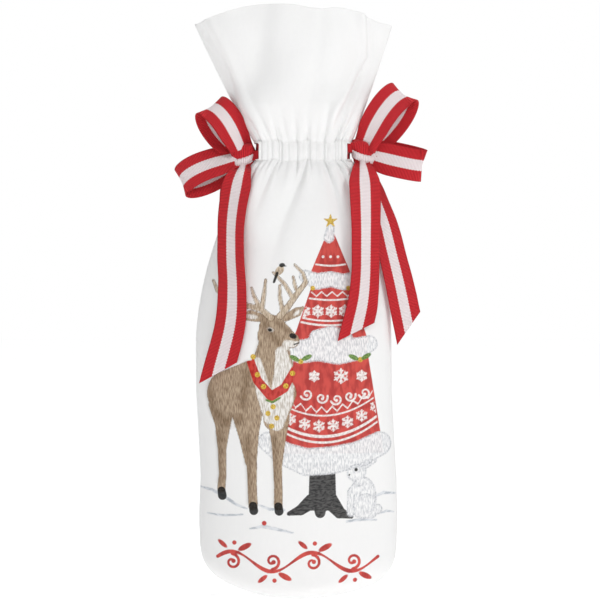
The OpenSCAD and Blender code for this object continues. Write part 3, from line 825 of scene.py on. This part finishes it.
def draw_print(p):
    """A snowy tree dressed in a patterned red skirt, a deer, a bird, a rabbit, and a scroll below them."""
    red, white, fur, roots, star = draw_tree(p)
    deer, pale, shaded, horns = draw_deer(p)
    collar = several(p.limb, [
        [(-31, 161, 2.6), (-26, 147, 3.0), (-17, 136.5, 3.2)],
        [(-17, 136.5, 3.2), (-8, 142, 3.0), (-1.5, 154, 2.5)],
    ])
    bells = several(p.disc, [
        (-29, 163, 1.8), (-26, 151, 1.8), (-22, 143, 1.8), (-7, 143.5, 1.8), (-2.5, 152, 1.8),
        (-15.5, 129.5, 1.8), (-19, 125, 1.8), (-13, 122, 1.8), (-16.5, 116.5, 1.8),
    ])
    berries = several(p.disc, [(3, 160, 1.8), (43, 161, 1.8), (11, 209, 1.6), (35, 209, 1.6)])
    leaves = union(p.limb((-20, 134, 0.7), (-16, 132.5, 0.8), (-11, 135.5, 0.7)), several(p.oval, [
        (7, 162.5, 3.8, 1.6, 25), (-1, 162, 3.8, 1.6, -30), (38.5, 162.5, 3.8, 1.6, -25),
        (47, 163, 3.8, 1.6, 30),
    ]))
    rabbit = union(
        p.oval(44.6, 68, 9.2, 13.8), p.oval(40.6, 85, 6.4, 5.6, 20), p.disc(54.4, 60, 3.4),
        several(p.limb, [
            [(42, 88, 1.8), (48, 91, 2.6), (53, 92.5, 1.0)],
            [(38, 72, 3.5), (36.5, 58, 2.4)],
            [(42, 57.5, 2.8), (51, 57, 2.8)],
        ]),
    )
    rabbit_lines = union(
        p.arc(46.5, 64, 6.5, -60, 130, 0.5), p.arc(42, 80, 4, 200, 300, 0.4),
        p.limb((39, 70, 0.4), (38.5, 60, 0.5)), p.limb((44, 89, 0.4), (50, 91.3, 0.6)),
    )
    snow = several(p.limb, [
        [(-66, 74.5, 0.5), (-57, 73, 1.0), (-48, 68.5, 1.1), (-40, 63.5, 0.9), (-33, 61, 0.5)],
        [(-60, 57, 0.4), (-50, 56, 0.8), (-36, 57, 0.5)],
        [(-31, 47.6, 0.5), (-22.5, 49.4, 1.1), (-12, 47.4, 1.0), (-2, 45, 0.5)],
        [(52, 68.5, 0.6), (59, 71, 1.0), (67, 70, 0.6)],
        [(56, 57, 0.5), (61, 58.5, 0.8), (66, 57.5, 0.4)],
        [(-26, 64, 0.5), (-18, 61, 1.0), (-8, 60.5, 0.8)],
        [(34, 52.5, 0.8), (44, 53.5, 0.9), (54, 52.8, 0.5)],
    ])
    # eyes, noses, mouths, hooves, and the bird's head, beak and tail
    dark = union(
        several(p.oval, [
            (-17.6, 181, 1.5, 1.1, -15), (-2.2, 177, 2.6, 1.8, -20), (-9.6, 224.4, 2.0, 1.4, 10),
        ]),
        several(p.disc, [(40.2, 87, 1.2), (35.6, 83.6, 0.7)]),
        several(p.limb, [
            [(-1.5, 171.3, 0.5), (2, 172.5, 0.4)],
            [(-8.4, 224, 0.5), (-6.6, 223.6, 0.3)],
            [(-12.8, 219, 1.0), (-15, 213, 0.8)],
        ]),
        several(p.limb, [
            [(x, z, 2.8), (x + 0.5, z - 3.2, 3.0)] for x, z in ((-50.3, 72.5), (-29, 63), (-12, 62.8))
        ]),
    )
    return {
        "ink_snow": snow,
        "ink_red": union(red, draw_scroll(p)),
        "ink_white": white,
        "ink_black": roots,
        "ink_fur": union(fur, rabbit),
        "ink_grey": union(stroke(fur, 0.5, 0.2), stroke(rabbit, 0.45, 0.2), rabbit_lines),
        "ink_tan": deer,
        "ink_light": pale,
        "ink_shade": shaded,
        "ink_brown": union(np.maximum(stroke(deer, 0.55, 0.3), -0.2 - deer), stroke(horns, 0.35)),
        "ink_horn": union(horns + 0.25, p.oval(-11.2, 220.8, 3.6, 2.5, 50)),
        "ink_collar": union(within(collar, deer - 0.5), p.disc(-21.5, 51.5, 1.6)),
        "ink_gold": union(bells, berries, star),
        "ink_green": leaves,
        "ink_dark": dark,
    }


# ---- Ribbons ----
def strip(name, centres, across, half_w, crease, material, skew=0.0, cup=0.0):
    """A ribbon along centres, its width along across; crease is the height of the folds across its width,
    cup lifts its edges, and skew slants its far end."""
    cols = 25
    n = len(centres)
    centres, across = np.asarray(centres, float), np.asarray(across, float)
    half_w, crease, cup = (np.broadcast_to(value, n) for value in (half_w, crease, cup))
    tangent = np.gradient(centres, axis=0)
    tangent /= np.linalg.norm(tangent, axis=1, keepdims=True)
    across = across - tangent * np.sum(across * tangent, axis=1, keepdims=True)
    across /= np.linalg.norm(across, axis=1, keepdims=True)
    normal = np.cross(tangent, across)
    e = np.linspace(-1, 1, cols)
    wave = np.cos(e * math.pi * 1.5)
    offset = crease[:, None] * (wave - wave.mean())[None, :] + cup[:, None] * (e**2)[None, :]
    t = np.linspace(0, 1, n)
    slant = skew * e[None, :] / 2 * smooth((t - 0.72) / 0.28)[:, None]
    mid = (
        centres[:, None, :]
        + across[:, None, :] * (half_w[:, None] * e[None, :])[..., None]
        + normal[:, None, :] * offset[..., None]
        + tangent[:, None, :] * slant[..., None]
    )
    du, dv = np.gradient(mid, axis=1), np.gradient(mid, axis=0)
    out = np.cross(dv, du)
    out /= np.linalg.norm(out, axis=-1, keepdims=True)
    along = run_length(centres)
    uv = uv_grid(np.linspace(0, 1, cols), along * MM)
    uv[:, 1] += (slant * MM).ravel()
    out *= RIBBON_T / 2
    points = np.concatenate([(mid + out).reshape(-1, 3), (mid - out).reshape(-1, 3)])
    piece = make_mesh(name, points, slab_faces(n, cols), material, np.concatenate([uv, uv]))
    bpy.context.view_layer.update()
    return piece, float(along[-1])


def spline(points, count):
    """A smooth curve through a few points."""
    p = np.asarray(points, float)
    p = np.concatenate([[2 * p[0] - p[1]], p, [2 * p[-1] - p[-2]]])
    t = np.linspace(0, len(p) - 3 - 1e-9, count)
    i = t.astype(int)
    f = (t - i)[:, None]
    a, b, c, d = p[i], p[i + 1], p[i + 2], p[i + 3]
    return b + f / 2 * (c - a + f * (2 * a - 5 * b + 4 * c - d + f * (3 * (b - c) + d - a)))


def bow_loop(name, knot, angle, length, opening, tilt, tip_tilt, turn, material):
    """A loop that leaves the knot at an angle in the front view and comes back behind itself."""
    steps = 90
    s = np.linspace(0, 1, steps)
    far = np.sin(math.pi * s)
    a = math.radians(angle)
    out = np.array([math.cos(a), 0, math.sin(a)])
    beside = np.array([-math.sin(a), 0, math.cos(a)]) * turn
    depth = np.array([0, 1.0, 0])
    away = math.cos(math.radians(tilt)) * depth + math.sin(math.radians(tilt)) * beside
    reach = mix(KNOT_R - 3.2, length, far**0.9)
    belly = opening / 2 * np.cos(math.pi * s) * (0.25 + 1.5 * far * (1 - 0.42 * far))
    # the front layer arches a little and the back one hangs
    arch = 1.6 * far * (1 - s)
    centres = knot + out * reach[:, None] - away * belly[:, None] - beside * arch[:, None]
    lean = np.radians(mix(tilt - 14, tip_tilt - 8, smooth(far * 1.2)))[:, None]
    across = np.cos(lean) * beside - np.sin(lean) * depth
    pinch = 1 - smooth((reach - KNOT_R + 3.2) / 16)
    half_w = mix(RIBBON_W / 2, LOOP_ROOT, pinch)
    return strip(name, centres, across, half_w, 1.3 * pinch, material, cup=0.9 * pinch - 0.25)


def push_clear(centres, turns, cloth):
    """How far a tail's centres move out, so that the tail's whole width clears points of the cloth."""
    half_band, half_reach, clearance = 2.5, 14, 1.3
    side = -1 if cloth[:, 1].mean() < 0 else 1
    push = []
    for (x, y, z), turned in zip(centres, turns):
        level = (np.abs(cloth[:, 2] - z) < half_band) & (cloth[:, 2] < NECK_Z - 4)
        band = cloth[level & (np.abs(cloth[:, 0] - x) < half_reach)]
        need = 0.0
        for e in np.linspace(-11.5, 11.5, 9):
            hit = band[np.abs(band[:, 0] - x - e * math.cos(turned)) < 2.2]
            if len(hit):
                surface = (side * hit[:, 1]).max() + clearance
                need = max(need, surface - side * (y + e * math.sin(turned)))
        push.append(need)
    # the largest push nearby, smoothed along the tail and none at the knot
    wide = np.array([max(push[max(0, n - 5):n + 6]) for n in range(len(push))])
    wide = np.convolve(np.pad(wide, 6, "edge"), np.ones(13) / 13, "valid")
    return side * wide * smooth(np.arange(len(push)) / 9)


def tail(name, route, yaw, material, skew, cup, cloth):
    """A tail through a few points, kept clear of the cloth, its width turned from the front view by yaw."""
    centres = spline(route, 120)
    turns = np.radians(np.interp(np.linspace(0, 1, len(centres)), np.linspace(0, 1, len(yaw)), yaw))
    centres[:, 1] += push_clear(centres, turns, cloth)
    across = np.stack([np.cos(turns), np.sin(turns), 0 * turns], -1)
    pinch = 1 - smooth(run_length(centres) / TAIL_SPREAD)
    half_w = mix(RIBBON_W / 2, TAIL_ROOT, pinch)
    return strip(name, centres, across, half_w, 1.7 * pinch, material, skew, cup * (1 - pinch))


def crumpled(name, plans, z, material):
    """Strips that stand on edge in the channel, each one folded in three across its width."""
    fold = 3
    points, faces, uvs, total = [], [], [], 0
    for plan in plans:
        c = spline([(x, y, z) for x, y in plan], 60)
        tangent = np.gradient(c, axis=0)
        tangent /= np.linalg.norm(tangent, axis=1, keepdims=True)
        side = np.cross(tangent, (0, 0, 1.0))
        k = np.linspace(0, fold, 22)
        up = RIBBON_W / (2 * fold) * (1 - 2 * np.abs((k % 2) - 1))
        deep = (k / fold - 0.5) * 1.1
        along = run_length(c)
        ruck = 0.12 * np.sin(along / 1.1)[:, None] * np.sin(k * 2.1 + 1)[None, :]
        p = c[:, None, :] + side[:, None, :] * (deep[None, :] + ruck)[..., None]
        p[..., 2] += up[None, :] * (1 - 0.05 * np.sin(along / 2.3))[:, None]
        base = sum(len(q) for q in points)
        points.append(p.reshape(-1, 3))
        faces += [tuple(v + base for v in face) for face in grid_faces(len(c), len(k))]
        uvs.append(uv_grid(k / fold, along * MM))
        total += float(along[-1])
    piece = make_mesh(name, np.concatenate(points), faces, material, np.concatenate(uvs))
    return piece, total


def knot(name, centre, mirror, material):
    """The ribbon's wrap round the bow: a plump band, its white stripe curving low across the front."""
    rows, cols = 61, 84
    u = np.linspace(0, 1, rows)[:, None]
    a = np.linspace(0, 2 * math.pi, cols + 1)[None, :-1]
    h = 2 * u - 1
    plump = np.maximum(0, 1 - np.abs(h) ** 3) ** 0.45
    # creases where the band folds over itself
    crease = 1 - 0.14 * bump(u, 0.56 + 0.05 * np.sin(a), 0.022)
    crease = crease - 0.10 * bump(u, 0.22 + 0.04 * np.cos(a), 0.03)
    crease = crease - 0.07 * bump(u, 0.8 + 0.07 * np.sin(a * 2), 0.03)
    r = plump * crease * (1 + 0.05 * np.sin(3 * a + 5 * u) + 0.03 * np.sin(7 * a - 9 * u))
    half_x, half_y, half_z = KNOT_HALF
    x = half_x * r * np.sign(np.cos(a)) * np.abs(np.cos(a)) ** 0.85
    y = half_y * r * np.sign(np.sin(a)) * np.abs(np.sin(a)) ** 0.85
    z = half_z * h + 0 * a
    z = z + 0.30 * x * mirror - 1.6 * (1 - (x / half_x) ** 2) * (1 - 0.4 * u)
    p = np.stack([x, y, z], -1) + centre
    # the band is turned so that the stripe lies below the middle
    band = np.interp(u + 0 * a, [0, 0.24, 0.52, 1], [0.12, 0.335, 0.675, 1.0])
    uv = np.stack([1 - band, (a / (2 * math.pi) * 40 + 0 * u) * MM], -1)
    faces = []
    for j in range(rows - 1):
        for i in range(cols):
            k = (i + 1) % cols
            faces.append((j * cols + i, j * cols + k, (j + 1) * cols + k, (j + 1) * cols + i))
    return make_mesh(name, p.reshape(-1, 3), faces, material, uv.reshape(-1, 2))


# ---- Stitching and seams ----
RINGS, SIDES = 7, 8  # of a stitch's thread
SEAM_T = 1.2  # two layers of cloth and the thread round them


def stitches(name, z, material):
    """A row of thread stitches round the neck, each one pulled into the cloth at its ends."""
    ring = Rings([channel_ring(z)])
    points, faces = [], []
    for side in (0, 1):
        angle = np.linspace(0.05, math.pi - 0.05, 400)
        line = cloth_points(ring, angle, 0.0, side)[0]
        along = run_length(line)
        count = int(along[-1] / 2.9)
        for n in range(count):
            s = np.linspace((n + 0.12) / count, (n + 0.88) / count, RINGS) * along[-1]
            c = np.stack([np.interp(s, along, line[:, k]) for k in range(3)], -1)
            tangent = c[-1] - c[0]
            tangent /= np.linalg.norm(tangent)
            out = np.cross(tangent, (0, 0, 1.0)) * (-1 if side else 1)
            arch = np.sin(np.linspace(0, math.pi, RINGS))
            c = c + out * (0.05 + 0.16 * arch)[:, None]
            base = len(points)
            for k in range(RINGS):
                r = 0.24 * (0.35 + 0.65 * arch[k] ** 0.5)
                for q in range(SIDES):
                    b = 2 * math.pi * q / SIDES
                    points.append(c[k] + r * (math.cos(b) * out + math.sin(b) * np.array([0, 0, 1.0])))
            for k in range(base, base + (RINGS - 1) * SIDES, SIDES):
                for q in range(SIDES):
                    w = (q + 1) % SIDES
                    faces.append((k + q, k + w, k + SIDES + w, k + SIDES + q))
            faces.append(tuple(base + q for q in range(SIDES - 1, -1, -1)))
            faces.append(tuple(base + (RINGS - 1) * SIDES + q for q in range(SIDES)))
    return make_mesh(name, points, faces, material)


def seam_leaf(name, outer, inner, material):
    """Two layers of seam allowance bound together, with a ruffled free edge."""
    across = np.linspace(0, 1, 9)
    along = run_length(outer)
    p = outer[:, None, :] + (inner - outer)[:, None, :] * across[None, :, None]
    ruffle = 0.25 * np.sin(along / 5.5)[:, None] * across[None, :] ** 2
    normal = np.cross(outer[1] - outer[0], inner[0] - outer[0])
    normal /= np.linalg.norm(normal)
    layers = [(p + normal * (s * SEAM_T / 2 + ruffle)[..., None]).reshape(-1, 3) for s in (1, -1)]
    uv = uv_grid(across * 0.008, along * MM)
    faces = slab_faces(len(outer), len(across))
    return make_mesh(name, np.concatenate(layers), faces, material, np.concatenate([uv, uv]))


# ---- Camera ----
SENSOR = 36
camera = bpy.data.objects.new("camera", bpy.data.cameras.new("camera"))
bpy.context.scene.collection.objects.link(camera)
bpy.context.scene.camera = camera
camera.location = (0.0025, -2.4, 0.232)
camera.rotation_euler = (math.radians(90 - 0.75), 0, 0)
camera.data.sensor_width = SENSOR
camera.data.lens = SENSOR * 2.38 / 0.4045  # 2.38 m away, the view is 0.4045 m across


# ---- Pieces ----
def place(piece, body, node, slot):
    """A piece that rides a body, in place of a CAD node."""
    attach(piece, body)
    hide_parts(node)


cloth_printed = cotton("cotton_printed", printed=True)
cloth_plain = cotton("cotton_plain")
ribbon = grosgrain()
thread_material = thread()
edge_material = overlock()

front, front_points = panel("front_cloth", 0, 0.72, 236, cloth_printed)
back, back_points = panel("back_cloth", 1, 1.1, 170, cloth_plain)
inks = draw_print(Print(front_points[..., 0].ravel(), front_points[..., 2].ravel()))
for name, values in inks.items():
    add_attribute(front, name, np.clip(values, -20, 20))
front_lining = facing("front_facing_cloth", 0, 110, cloth_plain)
back_lining = facing("back_facing_cloth", 1, 90, cloth_plain)
for piece, node, lining, lining_node in (
    (front, "front_panel", front_lining, "front_facing"), (back, "back_panel", back_lining, "back_facing"),
):
    place(piece, "bag", node, "cloth")
    place(lining, "bag", lining_node, "cloth")

for z, node in ((NECK_Z, "lower_channel_stitching"), (CHANNEL_TOP, "upper_channel_stitching")):
    place(stitches(node + "_thread", z, thread_material), "bag", node, "thread")

seam_rings = [rim_ring(s) for s in spaced(0.1, math.pi / 2, 0.1)]
seam_rings += [body_ring(z / SHOULDER_Z) for z in spaced(0, SHOULDER_Z, 4)]
seam_rings += [shoulder_ring(t) for t in spaced(0, HEM_T, 0.03)]
for side, end in (("left", 0.0), ("right", math.pi)):
    outer, inner = (Rings(seam_rings).points(np.array([end, end + 1e-4]), e)[:, 0] for e in (1.3, 9.0))
    outer[:, 1] = inner[:, 1] = 0
    piece = seam_leaf(side + "_seam_allowance", outer, inner, edge_material)
    place(piece, "bag", side + "_side_seam", "thread")
low, high = box_mm("bottom_seam")
xs = np.linspace(low[0], high[0], 40)
zs = np.interp(xs, front_points[0, :, 0], front_points[0, :, 2]) + 1.9
outer, inner = (np.stack([xs, 0 * xs + y, zs], -1) for y in (low[1], high[1]))
place(seam_leaf("bottom_seam_allowance", outer, inner, edge_material), "bag", "bottom_seam", "thread")


def add_ribbon(piece, node, body, blend_from=None):
    """A ribbon in place of a CAD node: it rides a body, or, when blend_from is given, has its placing baked
    into its points instead.
    """
    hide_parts(node)
    if blend_from:
        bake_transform(piece)
    else:
        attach(piece, body)


STRAND_Z = {side: float(sum(box_mm(side + "_ribbon_strands"))[2]) / 2 for side in ("left", "right")}
STRAND_Y = float(box_mm("left_ribbon_return")[1][1]) - 1.25
STRAIGHT = (-25.6, -5, 10, 24)  # places along the channel where the strands run straight
for side, sign in (("left", -1), ("right", 1)):
    k = KNOTS[side]
    reach = abs(k[0] - NECK_LEAN) - 4
    near = [(x, -STRAND_Y) for x in STRAIGHT] + [(29, 0.7 - STRAND_Y), (reach, k[1] - 2)]
    far = [(x, STRAND_Y) for x in STRAIGHT] + [(29, STRAND_Y - 0.9), (33, 5), (reach, k[1] + 2.4)]
    plans = [[(NECK_LEAN + sign * x, y) for x, y in plan] for plan in (near, far)]
    piece, length = crumpled(side + "_strands", plans, STRAND_Z[side], ribbon)
    add_ribbon(piece, side + "_ribbon_strands", side + "_bow")
    turn = [
        (NECK_LEAN - sign * (26.6 + 5.0 * math.cos(t)), STRAND_Y * math.sin(t))
        for t in np.linspace(-math.pi / 2, math.pi / 2, 9)
    ]
    piece, length = crumpled(side + "_return", [turn], STRAND_Z[side], ribbon)
    add_ribbon(piece, side + "_ribbon_return", "bag")
    place(knot(side + "_knot_wrap", k, -sign, ribbon), side + "_bow", side + "_knot", "ribbon")

LOOPS = [
    # side, name, angle, length, opening, tilt, tilt at its tip, turn
    ("left", "upper_loop", 125, 40, 18, 40, 22, 1),
    ("left", "lower_loop", 204, 45, 17, 42, 30, 1),
    ("right", "upper_loop", 54, 48, 19, 40, 20, -1),
    ("right", "side_loop", -11, 41, 8, 14, 8, 1),
]
for side, name, angle, length, opening, tilt, tip, turn in LOOPS:
    k = KNOTS[side]
    centre = k + (0, -1, 0)
    piece, cloth = bow_loop(f"{side}_{name}_ribbon", centre, angle, length, opening, tilt, tip, turn, ribbon)
    add_ribbon(
        piece, f"{side}_{name}", f"{side}_{name}_body", side + "_bow",
    )

TAILS = [
    # side, name, points from the knot's middle, yaw from top to end, slant of the cut end, cup
    ("left", "front_tail", [
        (0.5, -3.2, -4.5), (-4.0, -10.0, -19), (-7.5, -17, -42), (-8.0, -20, -66), (-7.0, -22, -90),
        (-8.5, -24, -114), (-16.5, -26, -146),
    ], (-10, -26, -36, -34, -22, -14), -20, 0.3),
    ("left", "rear_tail", [
        (-2, 3.5, -3), (-5.5, 17, -14), (-7.0, 30, -34), (-5, 36, -58), (-4, 38, -84), (-6, 40, -114),
    ], (40, 30, 28, 26, 24), 11, 0.5),
    ("right", "rear_tail", [
        (2.5, 1.5, -5), (7.5, 1.0, -27), (14.5, 0, -48), (19.5, -2, -68), (24, -3, -86), (27.5, -4, -102),
        (31.0, -5, -119),
    ], (60, 46, 36, 30, 26, 24), -19, 0.4),
    ("right", "front_tail", [
        (-0.5, -3.2, -4.5), (1.0, -10, -20), (1.6, -17, -42), (1.6, -20, -64), (1.2, -22, -84),
        (-0.5, -24, -101), (-5.0, -26, -121),
    ], (6, 16, 28, 32, 26, 14), -18, 0.3),
]
for side, name, points, yaw, skew, cup in TAILS:
    k = KNOTS[side]
    lies_on = (back_points if (side, name) == ("left", "rear_tail") else front_points).reshape(-1, 3)
    if (side, name) == ("right", "front_tail"):
        lies_on = np.concatenate([lies_on, under])
    route = [k + point for point in points]
    piece, cloth = tail(f"{side}_{name}_ribbon", route, yaw, ribbon, skew, cup, lies_on)
    under = np.array([v.co for v in piece.data.vertices]) / MM
    add_ribbon(
        piece, f"{side}_{name}", f"{side}_{name}_body", side + "_bow",
    )

# ---- Floor and light ----
bpy.ops.mesh.primitive_plane_add(size=14, location=(0, 0, 0))
floor = bpy.context.object
floor.name = "studio_floor"
floor.data.materials.append(floor_paint())

# a white backdrop that lights the bag softly
world = bpy.data.worlds.new("studio")
bpy.context.scene.world = world
world.use_nodes = True
sky = world.node_tree
soft = sky.nodes["Background"]
soft.inputs[0].default_value = (1, 1, 1, 1)
soft.inputs[1].default_value = 0.28
bright = sky.nodes.new("ShaderNodeBackground")
bright.inputs[0].default_value = (1, 1, 1, 1)
bright.inputs[1].default_value = 1.0
seen = sky.nodes.new("ShaderNodeLightPath")
either = sky.nodes.new("ShaderNodeMixShader")
sky.links.new(seen.outputs["Is Camera Ray"], either.inputs[0])
sky.links.new(soft.outputs[0], either.inputs[1])
sky.links.new(bright.outputs[0], either.inputs[2])
sky.links.new(either.outputs[0], sky.nodes["World Output"].inputs[0])
bpy.context.scene.view_settings.view_transform = "Standard"


def area_light(name, place, aim, size, power):
    data = bpy.data.lights.new(name, "AREA")
    data.energy, data.size = power, size
    lamp = bpy.data.objects.new(name, data)
    bpy.context.scene.collection.objects.link(lamp)
    lamp.location = place
    direction = np.array(aim) - np.array(place)
    direction /= np.linalg.norm(direction)
    lamp.rotation_euler = (math.acos(-direction[2]), 0, math.atan2(direction[1], direction[0]) - math.pi / 2)
    return lamp


area_light("key", (1.5, -1.7, 1.6), (0, 0, 0.24), 0.55, 18.5)
area_light("fill", (-0.6, -2.3, 0.9), (0, 0, 0.26), 1.0, 6.5)
area_light("top", (0.2, 0.5, 1.9), (0, 0, 0.2), 1.2, 4)
overhead = bpy.data.lights.new("overhead", "SUN")
overhead.energy, overhead.angle = 1.1, 0.6
bpy.context.scene.collection.objects.link(bpy.data.objects.new("overhead", overhead))
